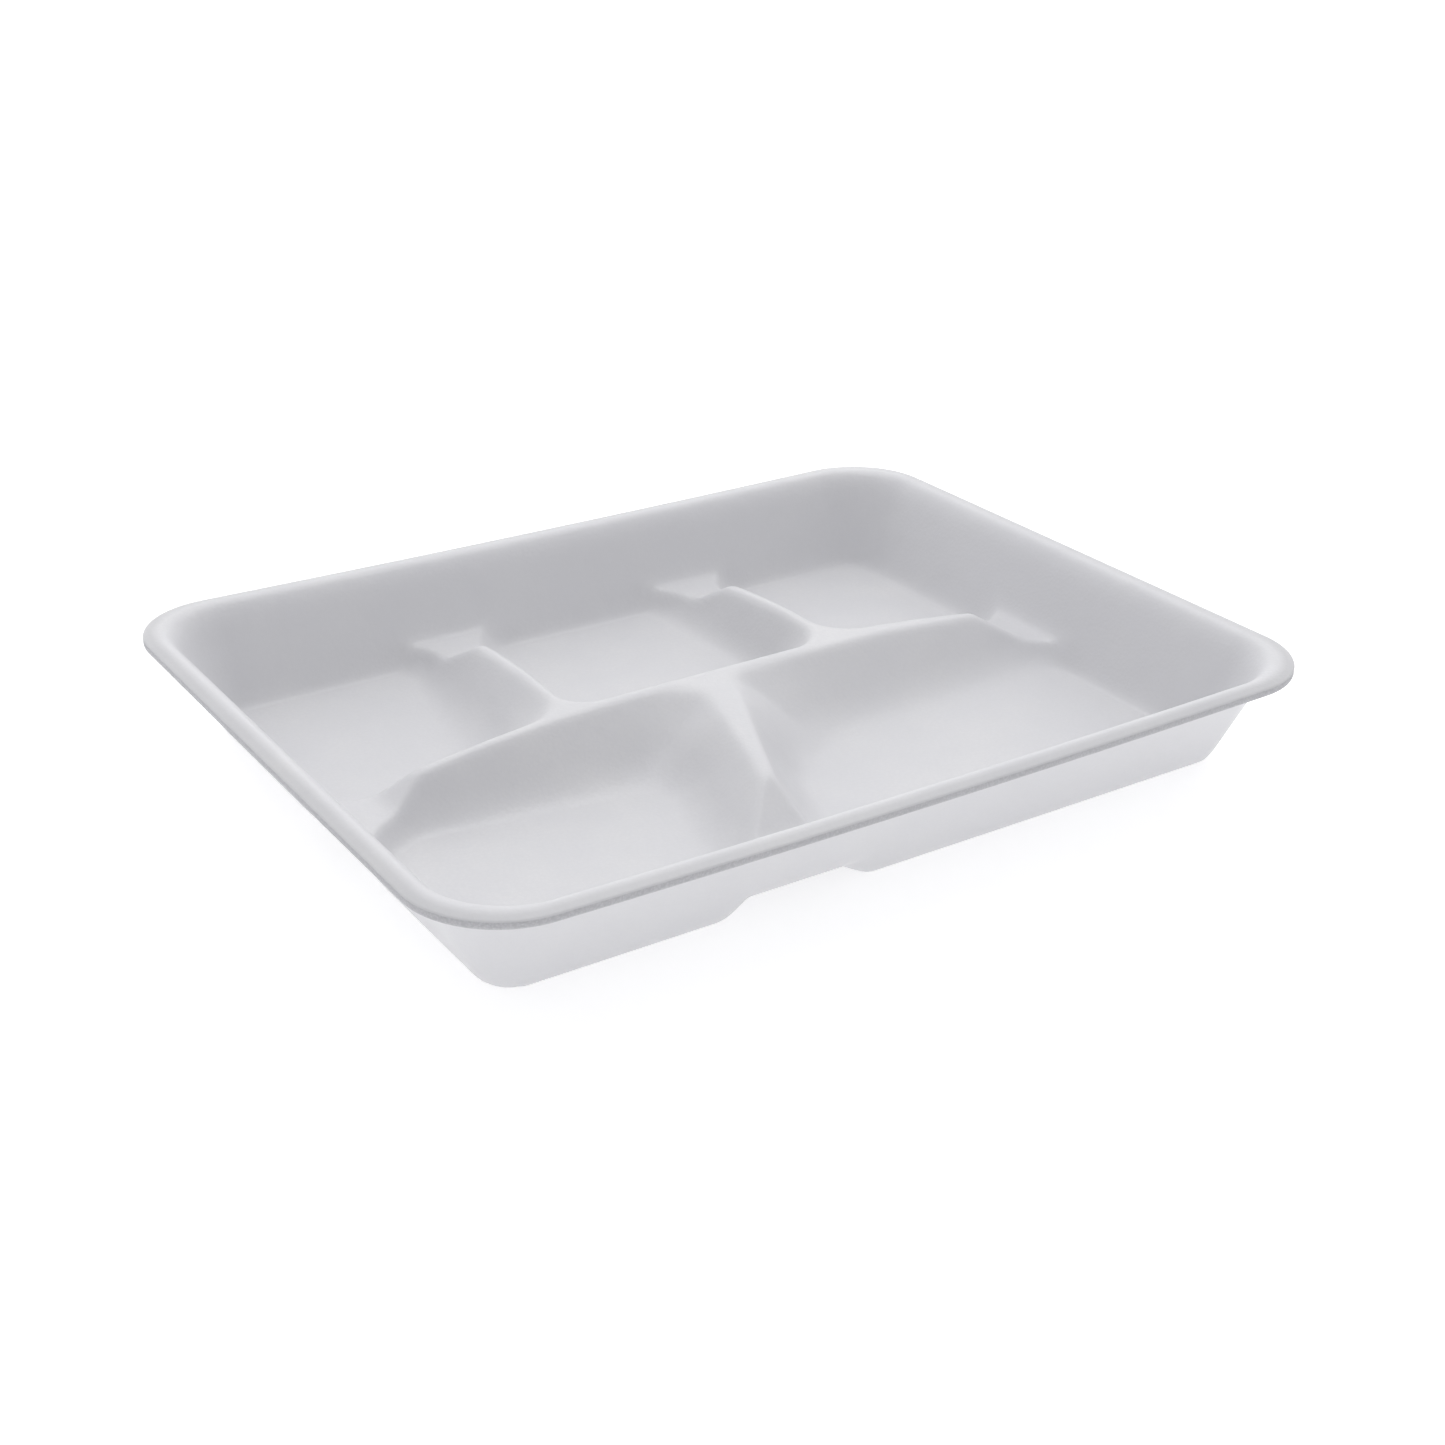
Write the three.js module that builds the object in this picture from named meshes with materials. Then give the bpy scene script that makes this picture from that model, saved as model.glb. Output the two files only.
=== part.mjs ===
// Disposable five-compartment meal tray, thermoformed from one sheet of polystyrene foam.
// Millimetres, +Z up. The origin is the middle of the footprint, on the plane the tray stands on.
// The tray's length runs along X. The two large compartments are on the -Y side and the three
// smaller ones on the +Y side, and the sheet has one even thickness all over.
import * as THREE from "three";

// ---- The sheet and the outline ----
const SHEET = 2.2; // thickness of the foam
const RIM = { halfX: 133.2, halfY: 104.3, bowX: 0.15, bowY: 0.5, corner: 25 };
const LIP_HEIGHT = 30; // top of the cut edge
const CROWN = { height: 30.6, inset: 4.5 }; // the rim's highest line
const RIM_SAG = 1.2; // how far the middle of a long side hangs below the corners

// ---- The outer wall ----
const WALL = { slope: 2.17, footInset: 18.67, corner: 28 };

// ---- The dividers ----
const FLOOR = SHEET; // top of the compartment floors, so that their undersides stand at z = 0
const CREST = 19.3; // height of the dividers in the middle of the tray
const SADDLE = 8.6; // height of the low link between a divider's end and the outer wall
// Each divider end: where its crest starts to fall, where it breaks down, and its height there.
const ENDS = [
  { axis: [-1, 0], from: 25, to: 92, height: 14.6 },
  { axis: [1, 0], from: 30, to: 95.5, height: 16 },
  { axis: [0, 1], from: 15, to: 60, height: 16.2 },
  { axis: [0, -1], from: 10, to: 56, height: 17.8 },
];
const END_SLOPE = 0.62;

// ---- Blends between neighbouring surfaces, top face and underside ----
const BLEND = {
  endBreak: 1,
  saddle: 1.6,
  crestEdge: 1.5,
  floor: [7, 8],
  wall: [4.5, 3],
  shoulder: [6.5, 3.4],
};
const NARROWEST_WALL = 2; // least plan width of a compartment's wall

// ---- The compartments ----
// Each has two outlines in plan: the edge at the divider crest and the foot on the floor.
// An outline is four straight sides, each given by two points on it, and its corner radii in the
// order front left, front right, back left, back right. The front is the -Y side.
const edgeX = 121; // outer sides, which lie behind the tray's outer wall
const edgeY = 92;
const footX = 116;
const footY = 87;
const sideX = (x) => [[x, 0], [x, 9]];
const sideY = (y) => [[-9, y], [9, y]];
const COMPARTMENTS = {
  backLeft: {
    edge: {
      left: sideX(-edgeX), right: [[-44.9, 20], [-43.4, 60]],
      front: [[-92, 1.2], [-50, 3]], back: sideY(edgeY), corners: [20, 11, 16, 18],
    },
    foot: {
      left: sideX(-footX), right: [[-60.2, 30], [-53.2, 66]],
      front: [[-92, 9.5], [-50, 16]], back: sideY(footY), corners: [15, 10, 12, 13],
    },
  },
  backMiddle: {
    edge: {
      left: [[-42.6, 20], [-40.2, 60]], right: [[43.5, 20], [43.9, 60]],
      front: [[-20, 4.3], [30, 4.8]], back: sideY(edgeY), corners: [11, 12, 18, 18],
    },
    foot: {
      left: [[-30, 20], [-29, 60]], right: [[35.2, 20], [35.4, 60]],
      front: [[-20, 17], [30, 17]], back: sideY(footY), corners: [10, 10, 12, 12],
    },
  },
  backRight: {
    edge: {
      left: [[46.6, 20], [47.2, 60]], right: sideX(edgeX),
      front: [[60, 7.2], [96, 4.2]], back: sideY(edgeY), corners: [12, 20, 18, 16],
    },
    foot: {
      left: [[58, 20], [57, 60]], right: sideX(footX),
      front: [[60, 20], [96, 14]], back: sideY(footY), corners: [10, 15, 13, 12],
    },
  },
  frontLeft: {
    edge: {
      left: sideX(-edgeX), right: [[-21.6, -56], [-10.2, -19.6]],
      front: sideY(-edgeY), back: [[-92, -1.8], [-22, 1.6]], corners: [16, 18, 33, 15],
    },
    foot: {
      left: sideX(-footX), right: [[-35.5, -56], [-27.6, -31]],
      front: sideY(-footY), back: [[-79, -11.6], [-31, -17]], corners: [12, 13, 26, 14],
    },
  },
  frontRight: {
    edge: {
      left: [[-18.1, -56], [-2.6, -19]], right: sideX(edgeX),
      front: sideY(-edgeY), back: [[16, 1.2], [93, 1]], corners: [18, 16, 7, 22],
    },
    foot: {
      left: [[-5.5, -56], [9, -19]], right: sideX(footX),
      front: sideY(-footY), back: [[20, -18.4], [79, -14.5]], corners: [13, 12, 22, 17],
    },
  },
};

// ---- How finely the surface is faceted ----
const FACET = {
  tolerance: 0.5, // distance from the true surface past which a facet is split
  grid: 1.25, // spacing of the places where a vertex may go
  scatter: 0.3, // how far those places are shifted off the grid, as a share of it
  margin: 2, // least distance from the cut edge to a free vertex
  rings: [1.5, 3, 4.6, 7], // insets of the vertex rings that shape the rim
  floorEvery: 4, // one vertex for this many places along the edge of a flat floor
  cornerSteps: 9,
  longSteps: 14,
  shortSteps: 10,
  frame: 60, // how far outside the outline a helper ring of the triangulation lies
  far: 1000, // half the side of the square that the triangulation starts from
  passes: 14, // most rounds of refinement
  touch: 1e-6, // least depth of a point inside a circle, squared millimetres, for it to count
};

// ---- Small helpers ----

// The greater of two heights, rounded where they differ by less than blend.
function softMax(a, b, blend) {
  const near = Math.max(blend - Math.abs(a - b), 0);
  return Math.max(a, b) + (near * near) / (4 * blend);
}

function softMin(a, b, blend) {
  return -softMax(-a, -b, blend);
}

// Vertical thickness of the sheet where it lies on a slope.
function thicknessOn(slope) {
  return SHEET * Math.hypot(1, slope);
}

// Signed distance to a shape with rounded corners, from the distances past its two nearest sides.
function roundedDistance(u, v, radius) {
  const outside = Math.hypot(Math.max(u + radius, 0), Math.max(v + radius, 0));
  return outside + Math.min(Math.max(u, v) + radius, 0) - radius;
}

// ---- The surface ----

// Distance in from the tray's slightly bowed outline, with the given corner radius.
function inset(x, y, corner) {
  const halfX = RIM.halfX + RIM.bowX * (1 - (y / RIM.halfY) ** 2);
  const halfY = RIM.halfY + RIM.bowY * (1 - (x / RIM.halfX) ** 2);
  return -roundedDistance(Math.abs(x) - halfX, Math.abs(y) - halfY, corner);
}

// Distance to the right of the line through two points, looking from the first to the second.
function rightOf(x, y, [[px, py], [qx, qy]]) {
  const length = Math.hypot(qx - px, qy - py);
  return ((x - px) * (qy - py) - (y - py) * (qx - px)) / length;
}

// Distance outside a four-sided outline with rounded corners, negative inside it.
function outsideOf(x, y, outline) {
  const left = -rightOf(x, y, outline.left);
  const right = rightOf(x, y, outline.right);
  const front = rightOf(x, y, outline.front);
  const back = -rightOf(x, y, outline.back);
  const corner = (front > back ? 0 : 2) + (left > right ? 0 : 1);
  return roundedDistance(Math.max(left, right), Math.max(front, back), outline.corners[corner]);
}

// Height of the crests, falling a little to their ends, and the same cut down to the saddles.
function dividerHeights(x, y) {
  let crest = CREST;
  let facets = CREST;
  for (const end of ENDS) {
    const reach = x * end.axis[0] + y * end.axis[1];
    const fall = THREE.MathUtils.clamp((reach - end.from) / (end.to - end.from), 0, 1) ** 2;
    crest = Math.min(crest, CREST - (CREST - end.height) * fall);
    facets = Math.min(facets, end.height - END_SLOPE * (reach - end.to));
  }
  const cut = softMin(crest, facets, BLEND.endBreak);
  return { crest, cut: softMax(cut, SADDLE, BLEND.saddle) };
}

// Height of the wall of one compartment, ruled between its foot and its edge.
function compartmentWall(x, y, compartment, crest, under) {
  const toEdge = -outsideOf(x, y, compartment.edge);
  const fromFoot = outsideOf(x, y, compartment.foot);
  const slope = (crest - FLOOR) / Math.max(toEdge + fromFoot, NARROWEST_WALL);
  return FLOOR + slope * fromFoot - (under ? thicknessOn(slope) : 0);
}

// Height of the outer wall, its shoulder and the rim.
function outerWall(x, y, under) {
  const rise = WALL.slope * (WALL.footInset - inset(x, y, WALL.corner));
  const side = rise + (under ? 0 : thicknessOn(WALL.slope));
  const inwards = Math.min(inset(x, y, RIM.corner) / CROWN.inset, 1);
  const rim = LIP_HEIGHT + (CROWN.height - LIP_HEIGHT) * (1 - (1 - inwards) ** 2);
  const height = softMin(side, rim - (under ? SHEET : 0), BLEND.shoulder[under ? 1 : 0]);
  const sag = RIM_SAG * (1 - (x / RIM.halfX) ** 2) * (y / RIM.halfY) ** 2;
  return height - sag * THREE.MathUtils.clamp(height / CROWN.height, 0, 1);
}

// Height of the tray's top face, or of its underside.
function trayHeight(x, y, under) {
  const { crest, cut } = dividerHeights(x, y);
  const floor = FLOOR - (under ? SHEET : 0);
  let height = cut - (under ? SHEET : 0);
  for (const compartment of Object.values(COMPARTMENTS)) {
    const wall = compartmentWall(x, y, compartment, crest, under);
    height = softMin(height, wall, BLEND.crestEdge);
  }
  height = softMax(height, floor, BLEND.floor[under ? 1 : 0]);
  height = softMax(height, outerWall(x, y, under), BLEND.wall[under ? 1 : 0]);
  return Math.max(height, floor);
}

// ---- Facets: a Delaunay triangulation in plan, refined where the surface bends ----

// Points round the outline, anticlockwise, at a distance in from it.
function ring(distance) {
  const radius = Math.max(RIM.corner - distance, 1);
  const x = RIM.halfX - distance - radius;
  const y = RIM.halfY - distance - radius;
  const path = new THREE.Path();
  path.absarc(x, y, radius, 0, Math.PI / 2);
  path.absarc(-x, y, radius, Math.PI / 2, Math.PI);
  path.absarc(-x, -y, radius, Math.PI, 1.5 * Math.PI);
  path.absarc(x, -y, radius, 1.5 * Math.PI, 2 * Math.PI);
  path.closePath();
  const steps = [FACET.cornerSteps, FACET.longSteps, FACET.cornerSteps, FACET.shortSteps];
  return path.curves.flatMap((curve, i) => curve.getPoints(steps[i % 4]).slice(0, -1).map(bowed));
}

// The sides of the tray bow outwards a little.
function bowed(point) {
  const x = point.x + Math.sign(point.x) * RIM.bowX * (1 - (point.y / RIM.halfY) ** 2);
  const y = point.y + Math.sign(point.y) * RIM.bowY * (1 - (point.x / RIM.halfX) ** 2);
  return new THREE.Vector2(x, y);
}

// A triangle, anticlockwise, with the circle through its corners.
function circledTriangle(points, a, b, c) {
  const [p, q, r] = [points[a], points[b], points[c]];
  const [bx, by, cx, cy] = [q.x - p.x, q.y - p.y, r.x - p.x, r.y - p.y];
  const twiceCross = 2 * (bx * cy - by * cx);
  const b2 = bx * bx + by * by;
  const c2 = cx * cx + cy * cy;
  const ux = (cy * b2 - by * c2) / twiceCross;
  const uy = (bx * c2 - cx * b2) / twiceCross;
  return { a, b, c, x: p.x + ux, y: p.y + uy, radius2: ux * ux + uy * uy };
}

// The triangles after a point is put in: those whose circles hold it give way to a fan round it.
function withPoint(points, triangles, index) {
  const { x, y } = points[index];
  const kept = [];
  const gap = new Map();
  for (const triangle of triangles) {
    if ((x - triangle.x) ** 2 + (y - triangle.y) ** 2 > triangle.radius2 - FACET.touch) {
      kept.push(triangle);
      continue;
    }
    const { a, b, c } = triangle;
    for (const [from, to] of [[a, b], [b, c], [c, a]]) {
      if (!gap.delete(`${to} ${from}`)) gap.set(`${from} ${to}`, [from, to]);
    }
  }
  for (const [from, to] of gap.values()) kept.push(circledTriangle(points, from, to, index));
  return kept;
}

// A repeatable number from 0 to 1 for a grid place.
function scatter(i, j) {
  const wave = Math.sin(i * 12.9898 + j * 78.233) * 43758.5453;
  return wave - Math.floor(wave);
}

// The places where a free vertex may go, by grid column and row.
function samplePlaces(under) {
  const places = new Map();
  const columns = Math.ceil(RIM.halfX / FACET.grid);
  const rows = Math.ceil(RIM.halfY / FACET.grid);
  for (let i = -columns; i <= columns; i++) {
    for (let j = -rows; j <= rows; j++) {
      const x = (i + FACET.scatter * scatter(i, j)) * FACET.grid;
      const y = (j + FACET.scatter * scatter(j, i + 0.5)) * FACET.grid;
      if (inset(x, y, RIM.corner) < FACET.margin) continue;
      places.set(`${i} ${j}`, { x, y, z: trayHeight(x, y, under) });
    }
  }
  return places;
}

// The places along the edges of the flat floors that get a vertex, so that the floors stay flat.
function floorEdge(places, under) {
  const floor = FLOOR - (under ? SHEET : 0);
  const isFlat = (i, j) => places.get(`${i} ${j}`)?.z === floor;
  const isEdge = (i, j) =>
    !(isFlat(i - 1, j) && isFlat(i + 1, j) && isFlat(i, j - 1) && isFlat(i, j + 1));
  return [...places.keys()].filter((key) => {
    const [i, j] = key.split(" ").map(Number);
    return (i + j) % FACET.floorEvery === 0 && isFlat(i, j) && isEdge(i, j);
  });
}

// The key of the place inside a triangle that lies furthest from its plane, past the tolerance.
function furthestPlace(corners, places) {
  const [p, q, r] = corners;
  const area = (q.x - p.x) * (r.y - p.y) - (q.y - p.y) * (r.x - p.x);
  const normal = new THREE.Triangle(p, q, r).getNormal(new THREE.Vector3());
  const low = (axis) => Math.floor(Math.min(p[axis], q[axis], r[axis]) / FACET.grid) - 1;
  const high = (axis) => Math.ceil(Math.max(p[axis], q[axis], r[axis]) / FACET.grid);
  let furthest = FACET.tolerance;
  let found = null;
  for (let i = low("x"); i <= high("x"); i++) {
    for (let j = low("y"); j <= high("y"); j++) {
      const s = places.get(`${i} ${j}`);
      if (!s) continue;
      const wq = ((s.x - p.x) * (r.y - p.y) - (s.y - p.y) * (r.x - p.x)) / area;
      const wr = ((q.x - p.x) * (s.y - p.y) - (q.y - p.y) * (s.x - p.x)) / area;
      if (wq < 0 || wr < 0 || wq + wr > 1) continue;
      const plane = p.z + wq * (q.z - p.z) + wr * (r.z - p.z);
      const distance = Math.abs(s.z - plane) * normal.z;
      if (distance > furthest) {
        furthest = distance;
        found = `${i} ${j}`;
      }
    }
  }
  return found;
}

// One face of the tray: its vertices, with the outline first, and its triangles.
function facetedFace(under) {
  const square = [[-1, -1], [1, -1], [1, 1], [-1, 1]];
  const helpers = [
    ...square.map(([x, y]) => new THREE.Vector2(x * FACET.far, y * FACET.far)),
    ...ring(-FACET.frame),
  ];
  const points = [...helpers, ...ring(0), ...FACET.rings.flatMap(ring)];
  const raised = (point) => new THREE.Vector3(point.x, point.y, trayHeight(point.x, point.y, under));
  const vertices = points.map(raised);
  let triangles = [circledTriangle(points, 0, 1, 2), circledTriangle(points, 0, 2, 3)];
  for (let i = square.length; i < points.length; i++) triangles = withPoint(points, triangles, i);

  const places = samplePlaces(under);
  const isFace = ({ a, b, c }) => Math.min(a, b, c) >= helpers.length;
  let wanted = new Set(floorEdge(places, under));
  for (let pass = 0; pass < FACET.passes && wanted.size > 0; pass++) {
    for (const key of wanted) {
      points.push(places.get(key));
      vertices.push(raised(places.get(key)));
      triangles = withPoint(points, triangles, points.length - 1);
    }
    const faces = triangles.filter(isFace);
    wanted = new Set(
      faces.map(({ a, b, c }) => furthestPlace([vertices[a], vertices[b], vertices[c]], places)),
    );
    wanted.delete(null);
  }
  const skipped = helpers.length;
  const shift = ({ a, b, c }) => [a - skipped, b - skipped, c - skipped];
  return { vertices: vertices.slice(skipped), faces: triangles.filter(isFace).map(shift) };
}

// The closed shell: the top face, the underside and the cut edge between them.
function trayGeometry() {
  const top = facetedFace(false);
  const bottom = facetedFace(true);
  const shift = top.vertices.length;
  const index = top.faces.flat();
  for (const [a, b, c] of bottom.faces) index.push(a + shift, c + shift, b + shift);
  const around = ring(0).length;
  for (let i = 0; i < around; i++) {
    const next = (i + 1) % around;
    index.push(i, i + shift, next + shift, i, next + shift, next);
  }
  const geometry = new THREE.BufferGeometry();
  geometry.setFromPoints([...top.vertices, ...bottom.vertices]);
  geometry.setIndex(index);
  geometry.computeVertexNormals();
  return geometry;
}

const foam = new THREE.MeshStandardMaterial({ color: 0xf4f4f6, roughness: 0.7, metalness: 0 });
const tray = new THREE.Mesh(trayGeometry(), foam);
tray.name = "tray";

const model = new THREE.Group();
model.add(tray);
export default model;
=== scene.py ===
"""Disposable five-compartment meal tray, thermoformed from one sheet of white polystyrene foam.

The tray's lengths are in millimetres until the last step of its mesh, which goes to metres. The
finish, the table, the camera and the light are in metres. The tray's length runs along X, its three
smaller compartments are on the +Y side, and it stands on z = 0.
"""

import math

import bpy
import numpy as np
from mathutils import Matrix, Vector


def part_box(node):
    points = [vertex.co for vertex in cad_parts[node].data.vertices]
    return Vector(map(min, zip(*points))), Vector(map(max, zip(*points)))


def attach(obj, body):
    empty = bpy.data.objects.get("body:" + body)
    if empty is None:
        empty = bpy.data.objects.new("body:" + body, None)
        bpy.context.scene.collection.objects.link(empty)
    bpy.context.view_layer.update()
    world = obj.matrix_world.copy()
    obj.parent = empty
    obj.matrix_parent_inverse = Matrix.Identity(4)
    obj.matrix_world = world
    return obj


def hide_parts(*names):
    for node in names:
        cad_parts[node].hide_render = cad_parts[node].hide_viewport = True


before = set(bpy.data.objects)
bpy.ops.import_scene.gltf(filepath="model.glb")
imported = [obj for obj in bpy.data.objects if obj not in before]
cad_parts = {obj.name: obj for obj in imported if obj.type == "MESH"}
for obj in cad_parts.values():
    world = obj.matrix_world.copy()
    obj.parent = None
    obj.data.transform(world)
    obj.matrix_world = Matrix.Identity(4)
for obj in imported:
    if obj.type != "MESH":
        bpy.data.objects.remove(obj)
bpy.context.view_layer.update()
tray_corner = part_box("tray")[1]

MM = 0.001

# ---- The sheet and the outline, whose half sizes come from the CAD tray's own box ----
SHEET = 2.2
BOW_X = 0.15
BOW_Y = 0.5
HALF_X = tray_corner.x / MM - BOW_X
HALF_Y = tray_corner.y / MM - BOW_Y
CORNER = 25.0
LIP_HEIGHT = 30.0
CROWN_RISE = 0.6
CROWN_HEIGHT = LIP_HEIGHT + CROWN_RISE
CROWN_INSET = 4.5
RIM_SAG = 1.2
LIP_ROUND = 0.4

# ---- The outer wall ----
WALL_SLOPE = 2.17
WALL_FOOT_INSET = 18.67
WALL_CORNER = 28.0

# ---- The dividers ----
FLOOR = SHEET
CREST = 19.3
SADDLE = 8.6
# Each divider end: its axis, where the crest starts to fall, where it breaks and its height there.
ENDS = (
    ((-1, 0), 25, 92, 14.6),
    ((1, 0), 30, 95.5, 16.0),
    ((0, 1), 15, 60, 16.2),
    ((0, -1), 10, 56, 17.8),
)
END_SLOPE = 0.62

# ---- Blends between neighbouring surfaces ----
BLEND_END_BREAK = 1.0
BLEND_SADDLE = 1.6
BLEND_CREST_EDGE = 1.5
# These three have one value for the top face and one for the underside.
BLEND_FLOOR = (7.0, 8.0)
BLEND_WALL = (4.5, 3.0)
BLEND_SHOULDER = (6.5, 3.4)
NARROWEST_WALL = 2.0  # least plan width of a compartment's wall

# ---- The compartments ----
# Each has two outlines in plan: the edge at the divider crest and the foot on the floor. An outline
# is four straight sides (left, right, front, back) and its corner radii (front left, front right,
# back left, back right). A side goes through two points, towards the back or towards the right. The
# front is the -Y side. The outer sides lie behind the tray's outer wall.
EDGE_X, EDGE_Y = 121.0, 92.0
FOOT_X, FOOT_Y = 116.0, 87.0


def side_x(x):
    """A side that runs straight back at one x."""
    return (x, 0), (x, 9)


def side_y(y):
    """A side that runs straight to the right at one y."""
    return (-9, y), (9, y)


COMPARTMENTS = {
    "back_left": {
        "edge": (side_x(-EDGE_X), ((-44.9, 20), (-43.4, 60)),
                 ((-92, 1.2), (-50, 3)), side_y(EDGE_Y), (20, 11, 16, 18)),
        "foot": (side_x(-FOOT_X), ((-60.2, 30), (-53.2, 66)),
                 ((-92, 9.5), (-50, 16)), side_y(FOOT_Y), (15, 10, 12, 13)),
    },
    "back_middle": {
        "edge": (((-42.6, 20), (-40.2, 60)), ((43.5, 20), (43.9, 60)),
                 ((-20, 4.3), (30, 4.8)), side_y(EDGE_Y), (11, 12, 18, 18)),
        "foot": (((-30, 20), (-29, 60)), ((35.2, 20), (35.4, 60)),
                 ((-20, 17), (30, 17)), side_y(FOOT_Y), (10, 10, 12, 12)),
    },
    "back_right": {
        "edge": (((46.6, 20), (47.2, 60)), side_x(EDGE_X),
                 ((60, 7.2), (96, 4.2)), side_y(EDGE_Y), (12, 20, 18, 16)),
        "foot": (((58, 20), (57, 60)), side_x(FOOT_X),
                 ((60, 20), (96, 14)), side_y(FOOT_Y), (10, 15, 13, 12)),
    },
    "front_left": {
        "edge": (side_x(-EDGE_X), ((-21.6, -56), (-10.2, -19.6)),
                 side_y(-EDGE_Y), ((-92, -1.8), (-22, 1.6)), (16, 18, 33, 15)),
        "foot": (side_x(-FOOT_X), ((-35.5, -56), (-27.6, -31)),
                 side_y(-FOOT_Y), ((-79, -11.6), (-31, -17)), (12, 13, 26, 14)),
    },
    "front_right": {
        "edge": (((-18.1, -56), (-2.6, -19)), side_x(EDGE_X),
                 side_y(-EDGE_Y), ((16, 1.2), (93, 1)), (18, 16, 7, 22)),
        "foot": (((-5.5, -56), (9, -19)), side_x(FOOT_X),
                 side_y(-FOOT_Y), ((20, -18.4), (79, -14.5)), (13, 12, 22, 17)),
    },
}

# ---- How finely the mesh is made ----
STEP = 1.15  # between neighbouring rows
CORNER_STEPS = 36  # round each quarter turn
EDGE_ROWS = (0.0, 0.08, 0.22, 0.4, 0.6, 1.0, 1.5, 2.1)  # insets of the rows next to the lip
CUT_ROWS = 4  # down the cut edge
WELD_PER_MM = 1000
WELD_SHIFT = 0.37  # keeps round coordinates away from the places where the rounding turns over

# ---- The foam's finish, and the shade painted into it ----
# Patterns: a size, and for some of the noises the detail and the roughness too.
CELL_SIZE = 0.0011
CELL_WOBBLE_SIZE = 0.004
CELL_WOBBLE = 0.0012
OPEN_CELL_SIZE = 0.0006
MOTTLE = (0.022, 4.0, 0.55)
HAZE = (0.07, 2.0)
GRAIN = (0.0006, 3.0, 0.6)
WAVE = (0.012, 1.0)
# The part of a pattern's or a mask's range over which its effect comes in.
MOTTLE_RANGE = (0.35, 0.65)
HAZE_RANGE = (0.4, 0.7)
CELL_RANGE = (0.0, 0.7)
OPEN_CELL_RANGE = (0.1, 0.7)
GRAIN_RANGE = (0.3, 0.7)
# The next range is for the painted shade on steep faces.
STEEP_SHADE_RANGE = (0.0, 0.6)
RIM_BAND = (2.4, 4.0)  # millimetres in from the outline: full inside the first, gone at the second
# Relief.
WAVE_HEIGHT = 0.0003
CELL_HEIGHT = 0.00004
GRAIN_HEIGHT = 0.00002
OPEN_CELL_HEIGHT = 0.0001
# Colours of the skin and of the cut, and how far haze, cells and painted shade on steep faces tint
# the skin.
SKIN_COOL = (0.685, 0.685, 0.705, 1)
SKIN_WARM = (0.715, 0.713, 0.725, 1)
SKIN_HAZE = (0.67, 0.67, 0.695, 1)
CELL_WALL = (0.65, 0.65, 0.67, 1)
# Painted shade on steep faces: the darker colour that they go towards.
STEEP_SHADE_COLOUR = (0.67, 0.67, 0.69, 1)
# The cut edge: open cells, and darker than the skin as painted shade of the shadow line under the
# lip.
CUT_LIGHT = (0.5, 0.5, 0.52, 1)
CUT_DARK = (0.42, 0.42, 0.44, 1)
HAZE_DEPTH = 0.6
CELL_TINT = 0.35
STEEP_SHADE_DEPTH = 0.6
# Painted shade on the rim's outer band, where the lip slopes down and out.
RIM_PAINTED_SHADE = (0.86, 0.86, 0.86, 1)  # multiplies the skin in the rim's outer band
# Gloss and the light that goes into the foam.
SKIN_ROUGH = (0.36, 0.5)
CUT_ROUGH = 0.3  # added on the cut edge
FOAM_IOR = 1.5
FOAM_SPECULAR = 0.5
SCATTER = 0.35
SCATTER_DEPTH = 0.003
SCATTER_COLOUR = (1.0, 1.0, 1.0)

# ---- Camera, table and light ----
CAMERA_PLACE = Vector((-0.2973, -0.4528, 0.2655))
CAMERA_YAW, CAMERA_PITCH, CAMERA_ROLL = 33.58, 25.68, 0.56  # degrees
CAMERA_LENS, CAMERA_SENSOR = 53.04, 36  # millimetres
CAMERA_CLIP = (0.01, 50)
TABLE_SIZE = 12.0
TABLE_GAP = 0.0001  # how far the table lies below the tray, so that their faces don't coincide
TABLE_TONES = ((0.9, 0.9, 0.9, 1), (0.92, 0.92, 0.92, 1))
TABLE_TONE_SIZE = 0.4
TABLE_ROUGH = 0.9
TABLE_SPECULAR = 0.1
TABLE_GLOW = 0.42
ROOM_COLOUR = (1.0, 1.0, 1.01)
ROOM_LIGHT = 0.63
BACKDROP_LIGHT = 1.45
BACKDROP_DIRECTION = (0.42, 0.87, 0.24)
BACKDROP_SPREAD = (0.2, 1.0)
SOFTBOX_PLACE = Vector((0.25, 0.3, 0.8))
SOFTBOX_SIZE = 0.5
SOFTBOX_POWER = 1.6


# ---- The surface ----


def soft_max(a, b, blend):
    """The greater of two heights, rounded where they differ by less than blend."""
    near = np.maximum(blend - np.abs(a - b), 0)
    return np.maximum(a, b) + near * near / (4 * blend)


def soft_min(a, b, blend):
    """The lesser of two heights, rounded in the same way."""
    return -soft_max(-a, -b, blend)


def thickness_on(slope):
    """Vertical thickness of the sheet where it lies on a slope."""
    return SHEET * np.hypot(1, slope)


def rounded_distance(u, v, radius):
    """Signed distance to a rounded corner, from the distances past its two nearest sides."""
    outside = np.hypot(np.maximum(u + radius, 0), np.maximum(v + radius, 0))
    return outside + np.minimum(np.maximum(u, v) + radius, 0) - radius


def inset(x, y, corner):
    """Distance in from the tray's slightly bowed outline, with the given corner radius."""
    half_x = HALF_X + BOW_X * (1 - (y / HALF_Y) ** 2)
    half_y = HALF_Y + BOW_Y * (1 - (x / HALF_X) ** 2)
    return -rounded_distance(np.abs(x) - half_x, np.abs(y) - half_y, corner)


def right_of(x, y, line):
    """Distance to the right of a line, looking from its first point to its second."""
    (px, py), (qx, qy) = line
    length = math.hypot(qx - px, qy - py)
    return ((x - px) * (qy - py) - (y - py) * (qx - px)) / length


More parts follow.
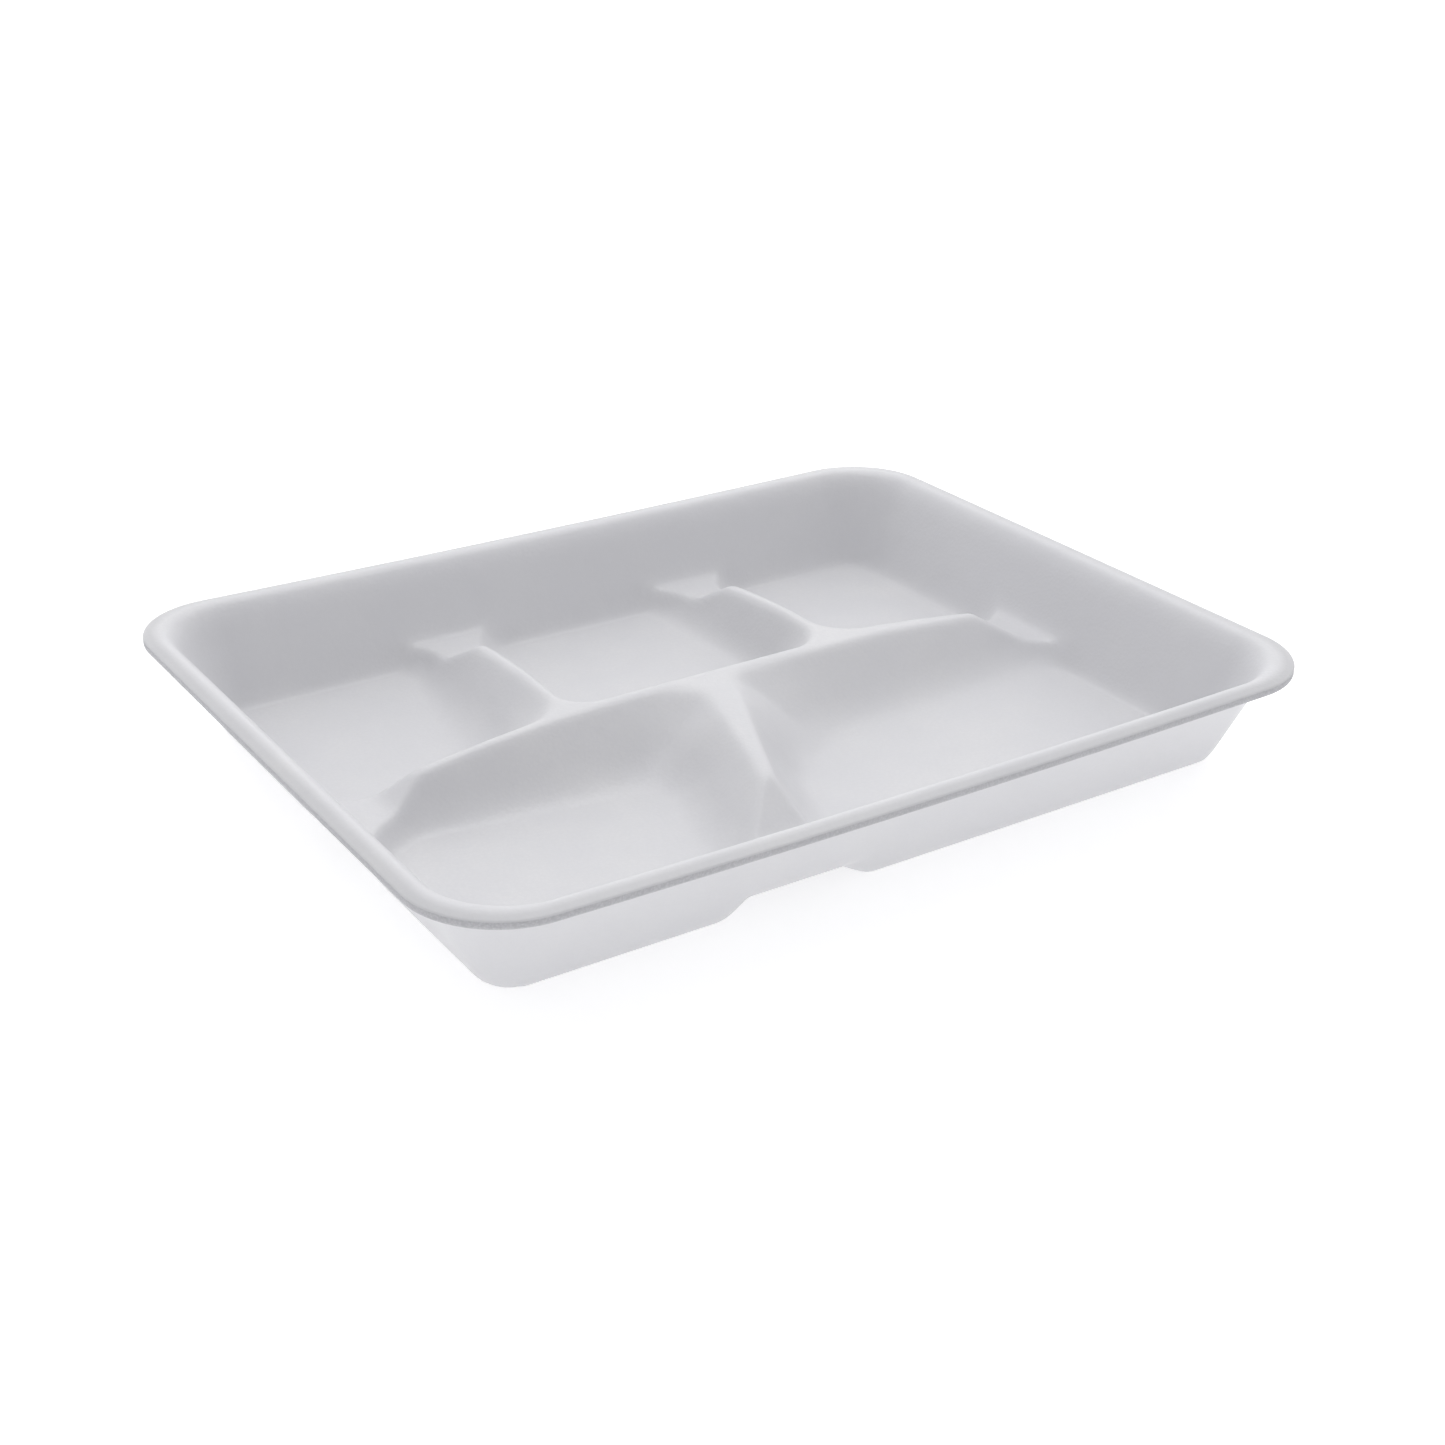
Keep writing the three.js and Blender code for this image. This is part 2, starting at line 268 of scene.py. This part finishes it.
def outside_of(x, y, outline):
    """Distance outside a four-sided outline with rounded corners, negative inside it."""
    left, right, front, back, corners = outline
    past_left, past_right = -right_of(x, y, left), right_of(x, y, right)
    past_front, past_back = right_of(x, y, front), -right_of(x, y, back)
    nearer_left = past_left > past_right
    front_radius = np.where(nearer_left, corners[0], corners[1])
    back_radius = np.where(nearer_left, corners[2], corners[3])
    radius = np.where(past_front > past_back, front_radius, back_radius)
    return rounded_distance(
        np.maximum(past_left, past_right), np.maximum(past_front, past_back), radius
    )


def divider_heights(x, y):
    """Height of the crests, falling a little to their ends, and the same cut down to the saddles."""
    crest = np.full_like(x, CREST)
    facets = np.full_like(x, CREST)
    for (axis_x, axis_y), start, end, end_height in ENDS:
        reach = x * axis_x + y * axis_y
        fall = np.clip((reach - start) / (end - start), 0, 1) ** 2
        crest = np.minimum(crest, CREST - (CREST - end_height) * fall)
        facets = np.minimum(facets, end_height - END_SLOPE * (reach - end))
    cut = soft_min(crest, facets, BLEND_END_BREAK)
    return crest, soft_max(cut, SADDLE, BLEND_SADDLE)


def compartment_wall(x, y, compartment, crest, under):
    """Height of the wall of one compartment, ruled between its foot and its edge."""
    to_edge = -outside_of(x, y, compartment["edge"])
    from_foot = outside_of(x, y, compartment["foot"])
    slope = (crest - FLOOR) / np.maximum(to_edge + from_foot, NARROWEST_WALL)
    return FLOOR + slope * from_foot - under * thickness_on(slope)


def outer_wall(x, y, under):
    """Height of the outer wall, its shoulder and the rim."""
    rise = WALL_SLOPE * (WALL_FOOT_INSET - inset(x, y, WALL_CORNER))
    side = rise + (1 - under) * thickness_on(WALL_SLOPE)
    inwards = np.minimum(inset(x, y, CORNER) / CROWN_INSET, 1)
    rim = LIP_HEIGHT + CROWN_RISE * (1 - (1 - inwards) ** 2)
    height = soft_min(side, rim - under * SHEET, BLEND_SHOULDER[under])
    sag = RIM_SAG * (1 - (x / HALF_X) ** 2) * (y / HALF_Y) ** 2
    return height - sag * np.clip(height / CROWN_HEIGHT, 0, 1)


def lip_rounding(x, y):
    """How far the lip's edge is rounded off, measured down from the face of the sheet."""
    past = np.clip(LIP_ROUND - inset(x, y, CORNER), 0, LIP_ROUND)
    return LIP_ROUND - np.sqrt(LIP_ROUND**2 - past**2)


def tray_height(x, y, under):
    """Height of the tray's top face, or of its underside where under is 1."""
    crest, cut = divider_heights(x, y)
    floor = FLOOR - under * SHEET
    height = cut - under * SHEET
    for compartment in COMPARTMENTS.values():
        wall = compartment_wall(x, y, compartment, crest, under)
        height = soft_min(height, wall, BLEND_CREST_EDGE)
    height = soft_max(height, floor, BLEND_FLOOR[under])
    height = soft_max(height, outer_wall(x, y, under), BLEND_WALL[under])
    height = np.maximum(height, floor)
    return height + (2 * under - 1) * lip_rounding(x, y)


# ---- The mesh ----


def even_steps(low, high, step):
    """Even places from low to high, about a step apart."""
    return np.linspace(low, high, round((high - low) / step) + 1)


def rim_rows():
    """Insets from the outline to the straight grid: close at the lip, then even."""
    even = even_steps(EDGE_ROWS[-1], CORNER, STEP)
    return np.array(EDGE_ROWS[:-1] + tuple(even))


def plan_patches():
    """Grids of plan points that meet along their borders: a cross of straight ones and four fans."""
    rows = rim_rows()
    core_x, core_y = HALF_X - CORNER, HALF_Y - CORNER
    along_x, along_y = even_steps(-core_x, core_x, STEP), even_steps(-core_y, core_y, STEP)
    out_x, out_y = core_x + CORNER - rows[::-1], core_y + CORNER - rows[::-1]
    patches = [np.meshgrid(along_x, along_y)]
    for sign in (-1, 1):
        reach_x, reach_y = (sign * out_x)[::sign], (sign * out_y)[::sign]
        patches.append(np.meshgrid(reach_x, along_y))
        patches.append(np.meshgrid(along_x, reach_y))
    for quarter in range(4):
        turn = math.pi / 2 * (quarter + np.linspace(0, 1, CORNER_STEPS + 1))
        reach, angle = np.meshgrid(CORNER - rows[::-1], turn)
        middle_x = core_x * (1 if quarter in (0, 3) else -1)
        middle_y = core_y * (1 if quarter in (0, 1) else -1)
        patches.append([middle_x + reach * np.cos(angle), middle_y + reach * np.sin(angle)])
    return patches


def bowed(x, y):
    """The sides of the tray bow outwards a little, and the inside of the grid follows less."""
    share_x, share_y = (x / HALF_X) ** 2, (y / HALF_Y) ** 2
    bow_x = np.sign(x) * BOW_X * (1 - share_y) * share_x
    bow_y = np.sign(y) * BOW_Y * (1 - share_x) * share_y
    return x + bow_x, y + bow_y


def welded(patches):
    """One list of plan points and one of faces from the patches, joined where they meet."""
    points, faces, count = [], [], 0
    for x, y in patches:
        rows, columns = x.shape
        index = count + np.arange(rows * columns).reshape(rows, columns)
        corners = (index[:-1, :-1], index[:-1, 1:], index[1:, 1:], index[1:, :-1])
        faces.append(np.stack([corner.ravel() for corner in corners], axis=1))
        points.append(np.stack([x.ravel(), y.ravel()], axis=1))
        count += rows * columns
    points, faces = np.concatenate(points), np.concatenate(faces)
    keys = np.round(points * WELD_PER_MM + WELD_SHIFT).astype(np.int64)
    _, first, same = np.unique(keys, axis=0, return_index=True, return_inverse=True)
    faces = same.reshape(-1)[faces].tolist()
    # In the middle of a fan, a face has two corners in one place and becomes a triangle.
    faces = [[v for i, v in enumerate(face) if v != face[i - 1]] for face in faces]
    return points[first], faces


def border_edges(faces):
    """The edges that only one face has, in that face's direction."""
    edges = {}
    for face in faces:
        for i, end in enumerate(face):
            edges[face[i - 1], end] = True
    return [(a, b) for a, b in edges if (b, a) not in edges]


def cut_edge(border, x, y, top, below):
    """The strip between the two faces: its own vertices, its faces, and the numbers of all it uses.

    The top face's vertices come first in the mesh, then the underside's, then the strip's own.
    """
    rim = np.array([a for a, _ in border])
    place = {v: i for i, v in enumerate(rim.tolist())}
    rows, vertices, faces = [rim], [], []
    for row in range(1, CUT_ROWS):
        share = row / CUT_ROWS
        height = top[rim] * (1 - share) + below[rim] * share
        rows.append(2 * len(x) + (row - 1) * len(rim) + np.arange(len(rim)))
        vertices.append(np.stack([x[rim], y[rim], height], axis=1))
    rows.append(rim + len(x))
    for upper, lower in zip(rows, rows[1:]):
        for a, b in border:
            i, j = place[a], place[b]
            faces.append([int(upper[j]), int(upper[i]), int(lower[i]), int(lower[j])])
    return vertices, faces, np.concatenate(rows)


def tray_mesh():
    """The tray as one closed mesh, and the numbers of the vertices on its cut edge."""
    plan, faces = welded(plan_patches())
    x, y = bowed(plan[:, 0], plan[:, 1])
    top, below = tray_height(x, y, 0), tray_height(x, y, 1)
    underside = [[len(x) + v for v in reversed(face)] for face in faces]
    edge_vertices, edge_faces, cut_vertices = cut_edge(border_edges(faces), x, y, top, below)
    vertices = [np.stack([x, y, top], axis=1), np.stack([x, y, below], axis=1), *edge_vertices]

    mesh = bpy.data.meshes.new("tray_sheet")
    places = (np.concatenate(vertices) * MM).tolist()
    mesh.from_pydata(places, [], faces + underside + edge_faces)
    mesh.polygons.foreach_set("use_smooth", [True] * len(mesh.polygons))
    mesh.validate()
    mesh.update()
    return mesh, cut_vertices


def vertex_vectors(data, name):
    """A vector of every vertex, as an array of three columns."""
    values = np.empty(len(data) * 3, dtype=np.float32)
    data.foreach_get(name, values)
    return values.reshape(-1, 3)


def add_foam_masks(mesh, cut_vertices):
    """Masks for the material: the cut edge, and the rim's outer band and the steep faces, which get
    painted shade.
    """
    cut = np.zeros(len(mesh.vertices), dtype=np.float32)
    cut[cut_vertices] = 1
    x, y = vertex_vectors(mesh.vertices, "co")[:, :2].T / MM
    full, gone = RIM_BAND
    # The band that gets painted shade: full near the outline, fading inwards.
    band = np.clip((gone - inset(x, y, CORNER)) / (gone - full), 0, 1)
    # Painted shade: the steeper a face, the more of the darker colour it gets.
    steep_shade = 1 - np.abs(vertex_vectors(mesh.vertex_normals, "vector")[:, 2])
    masks = {"cut_edge": cut, "rim_band": band, "steep_shade": steep_shade * (1 - cut)}
    for name, mask in masks.items():
        mesh.attributes.new(name, "FLOAT", "POINT").data.foreach_set("value", mask)


def make_tray():
    """The tray's visible piece, which stands for the CAD tray."""
    mesh, cut_vertices = tray_mesh()
    add_foam_masks(mesh, cut_vertices)
    piece = bpy.data.objects.new("foam_tray", mesh)
    bpy.context.scene.collection.objects.link(piece)
    mesh.materials.append(foam_material())
    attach(piece, "root")
    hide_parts("tray")


# ---- Materials ----


class Nodes:
    """A short way to write the node tree of a material or the world."""

    def __init__(self, owner):
        self.owner = owner
        owner.use_nodes = True
        self.tree = owner.node_tree
        self.tree.nodes.clear()

    def add(self, kind, values=(), **settings):
        """A new node with its settings made, and each input set or linked."""
        node = self.tree.nodes.new(kind)
        for key, value in settings.items():
            setattr(node, key, value)
        for key, value in dict(values).items():
            if isinstance(value, bpy.types.NodeSocket):
                self.tree.links.new(value, node.inputs[key])
            else:
                node.inputs[key].default_value = value
        return node

    def math(self, operation, a, b):
        return self.add("ShaderNodeMath", {0: a, 1: b}, operation=operation).outputs[0]

    def mix(self, share, a, b, blend="MIX"):
        node = self.add("ShaderNodeMix", {0: share, 6: a, 7: b}, data_type="RGBA", blend_type=blend)
        return node.outputs[2]

    def remap(self, value, low, high, to_low, to_high):
        """A value taken from one range to another, and kept inside it."""
        sockets = {"Value": value, "From Min": low, "From Max": high}
        sockets |= {"To Min": to_low, "To Max": to_high}
        return self.add("ShaderNodeMapRange", sockets).outputs["Result"]

    def noise(self, place, size, detail=2.0, roughness=0.5):
        """Noise from 0 to 1, whose features are about size metres across."""
        sockets = {"Vector": place, "Scale": 1 / size, "Detail": detail, "Roughness": roughness}
        return self.add("ShaderNodeTexNoise", sockets).outputs[0]

    def bump(self, height, distance, normal=None):
        """Relief that is distance metres high, on top of another one where normal is given."""
        sockets = {"Height": height, "Distance": distance}
        if normal is not None:
            sockets["Normal"] = normal
        return self.add("ShaderNodeBump", sockets).outputs[0]

    def finish(self, shader):
        """Makes the shader the material's surface, and returns the material."""
        self.add("ShaderNodeOutputMaterial", {"Surface": shader.outputs[0]})
        return self.owner


def foam_material():
    """White polystyrene foam: a smooth mottled skin over fine cells, open cells on the cut, and
    painted shade on the cut, the rim's outer band and steep faces.
    """
    n = Nodes(bpy.data.materials.new("foam"))
    place = n.add("ShaderNodeTexCoord").outputs["Object"]
    masks = ("cut_edge", "steep_shade", "rim_band")
    cut, steep_shade, band = (
        n.add("ShaderNodeAttribute", attribute_name=name).outputs["Fac"] for name in masks
    )

    wobble = n.add("ShaderNodeTexNoise", {"Vector": place, "Scale": 1 / CELL_WOBBLE_SIZE})
    sockets = {0: wobble.outputs["Color"], "Scale": CELL_WOBBLE}
    bent = n.add("ShaderNodeVectorMath", sockets, operation="SCALE").outputs[0]
    cell_place = n.add("ShaderNodeVectorMath", {0: place, 1: bent}, operation="ADD").outputs[0]
    cell, open_cell = (
        n.add("ShaderNodeTexVoronoi", {"Vector": cell_place, "Scale": 1 / size}).outputs["Distance"]
        for size in (CELL_SIZE, OPEN_CELL_SIZE)
    )
    mottle = n.noise(place, *MOTTLE)
    haze = n.noise(place, *HAZE)
    grain = n.noise(place, *GRAIN)

    skin = n.mix(n.remap(mottle, *MOTTLE_RANGE, 0.0, 1.0), SKIN_COOL, SKIN_WARM)
    skin = n.mix(n.remap(haze, *HAZE_RANGE, 0.0, HAZE_DEPTH), skin, SKIN_HAZE)
    skin = n.mix(n.remap(cell, *CELL_RANGE, 0.0, CELL_TINT), skin, CELL_WALL)
    # Painted shade: steep faces darker than flat ones.
    skin = n.mix(n.remap(steep_shade, *STEEP_SHADE_RANGE, 0.0, STEEP_SHADE_DEPTH), skin, STEEP_SHADE_COLOUR)
    # Painted shade: the rim's outer band darker.
    skin = n.mix(band, skin, n.mix(1.0, skin, RIM_PAINTED_SHADE, "MULTIPLY"))
    # The cut edge: open cells, made darker as painted shade of the shadow line under the lip.
    open_cells_and_shade = n.mix(n.remap(open_cell, *OPEN_CELL_RANGE, 0.0, 1.0), CUT_LIGHT, CUT_DARK)
    colour = n.mix(cut, skin, open_cells_and_shade)

    sheen_marks = n.remap(grain, *GRAIN_RANGE, *SKIN_ROUGH)
    rough = n.math("ADD", sheen_marks, n.math("MULTIPLY", cut, CUT_ROUGH))

    wave = n.bump(n.noise(place, *WAVE), WAVE_HEIGHT)
    dimple = n.bump(cell, CELL_HEIGHT, wave)
    fine = n.bump(grain, GRAIN_HEIGHT, dimple)
    torn = n.bump(n.math("MULTIPLY", open_cell, cut), OPEN_CELL_HEIGHT, fine)

    shader = n.add("ShaderNodeBsdfPrincipled", {
        "Base Color": colour,
        "Roughness": rough,
        "Normal": torn,
        "IOR": FOAM_IOR,
        "Specular IOR Level": FOAM_SPECULAR,
        "Subsurface Weight": SCATTER,
        "Subsurface Scale": SCATTER_DEPTH,
        "Subsurface Radius": SCATTER_COLOUR,
    })
    return n.finish(shader)


def table_material():
    """Plain white studio table that glows a little. It is clear from below, to show the underside."""
    n = Nodes(bpy.data.materials.new("studio_table"))
    place = n.add("ShaderNodeTexCoord").outputs["Object"]
    tone = n.mix(n.noise(place, TABLE_TONE_SIZE), *TABLE_TONES)
    shader = n.add("ShaderNodeBsdfPrincipled", {
        "Base Color": tone,
        "Roughness": TABLE_ROUGH,
        "Specular IOR Level": TABLE_SPECULAR,
        "Emission Color": (1, 1, 1, 1),
        "Emission Strength": TABLE_GLOW,
    })
    below = n.add("ShaderNodeNewGeometry").outputs["Backfacing"]
    clear = n.add("ShaderNodeBsdfTransparent").outputs[0]
    return n.finish(n.add("ShaderNodeMixShader", {0: below, 1: shader.outputs[0], 2: clear}))


# ---- Stage, light and camera ----


def make_table():
    """The table that the tray stands on, which is part of the stage."""
    half = TABLE_SIZE / 2
    mesh = bpy.data.meshes.new("studio_table")
    corners = [(x * half, y * half, -TABLE_GAP) for x, y in ((-1, -1), (1, -1), (1, 1), (-1, 1))]
    mesh.from_pydata(corners, [], [(0, 1, 2, 3)])
    mesh.materials.append(table_material())
    table = bpy.data.objects.new("studio_table", mesh)
    bpy.context.scene.collection.objects.link(table)


def make_room():
    """A soft white room, brighter behind the tray, where the backdrop is."""
    world = bpy.data.worlds.new("studio")
    n = Nodes(world)
    direction = n.add("ShaderNodeTexCoord").outputs["Generated"]
    sockets = {0: direction, 1: BACKDROP_DIRECTION}
    towards = n.add("ShaderNodeVectorMath", sockets, operation="DOT_PRODUCT").outputs["Value"]
    strength = n.remap(towards, *BACKDROP_SPREAD, ROOM_LIGHT, BACKDROP_LIGHT)
    room = n.add("ShaderNodeBackground", {"Color": (*ROOM_COLOUR, 1), "Strength": strength})
    n.add("ShaderNodeOutputWorld", {"Surface": room.outputs[0]})
    bpy.context.scene.world = world


def make_light():
    """One square softbox above and behind the tray, turned towards it."""
    light = bpy.data.lights.new("softbox", "AREA")
    light.shape = "SQUARE"
    light.size = SOFTBOX_SIZE
    light.energy = SOFTBOX_POWER
    softbox = bpy.data.objects.new("softbox", light)
    softbox.location = SOFTBOX_PLACE
    softbox.rotation_mode = "QUATERNION"
    softbox.rotation_quaternion = (-SOFTBOX_PLACE).to_track_quat("-Z", "Y")
    bpy.context.scene.collection.objects.link(softbox)


def make_camera():
    """The camera, looking down at the tray from its front left."""
    camera = bpy.data.objects.new("camera", bpy.data.cameras.new("camera"))
    camera.data.sensor_width = CAMERA_SENSOR
    camera.data.lens = CAMERA_LENS
    camera.data.clip_start, camera.data.clip_end = CAMERA_CLIP
    tilt = Matrix.Rotation(math.radians(90 - CAMERA_PITCH), 4, "X")
    turn = Matrix.Rotation(math.radians(-CAMERA_YAW), 4, "Z")
    roll = Matrix.Rotation(math.radians(CAMERA_ROLL), 4, "Z")
    camera.matrix_world = Matrix.Translation(CAMERA_PLACE) @ turn @ tilt @ roll
    bpy.context.scene.collection.objects.link(camera)
    bpy.context.scene.camera = camera


make_camera()
make_room()
make_light()
make_table()
make_tray()
bpy.context.scene.view_settings.view_transform = "Standard"
